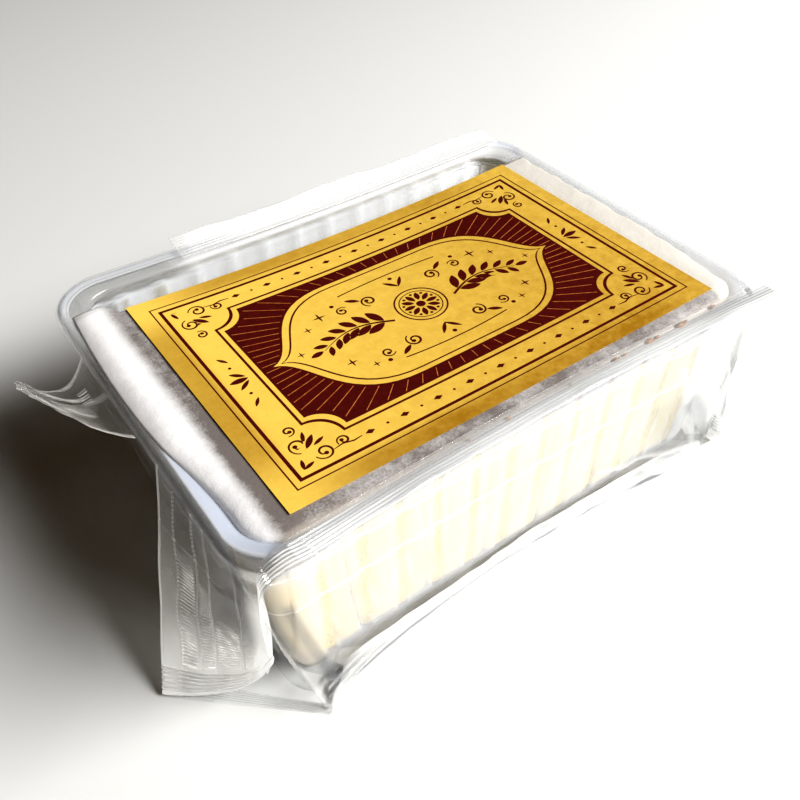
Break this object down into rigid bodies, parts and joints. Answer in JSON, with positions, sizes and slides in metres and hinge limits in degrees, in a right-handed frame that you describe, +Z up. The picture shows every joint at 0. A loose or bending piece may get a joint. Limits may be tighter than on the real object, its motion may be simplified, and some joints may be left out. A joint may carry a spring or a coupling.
{
  "type": "packed castella sponge cake",
  "caption": "Castella sponge cake in a deep ribbed plastic tray, sealed in a clear crimped film bag with an ornamental gold and maroon paper label on top.",
  "frame": {"origin": "middle of the flat base, on the surface that the pack stands on, under the middle of the tray", "axes": "+X along the tray to its right end, +Y across it to the far long side, +Z up through the label"},
  "size_m": [0.214, 0.1429, 0.0707],
  "materials": {
    "film": "gloss",
    "label_paper": "satin",
    "tray_plastic": "gloss",
    "cake": "matte",
    "cover_sheet": "matte"
  },
  "bodies": {
    "root": {"bag": "film", "label": "label_paper"}
  },
  "joints": []
}
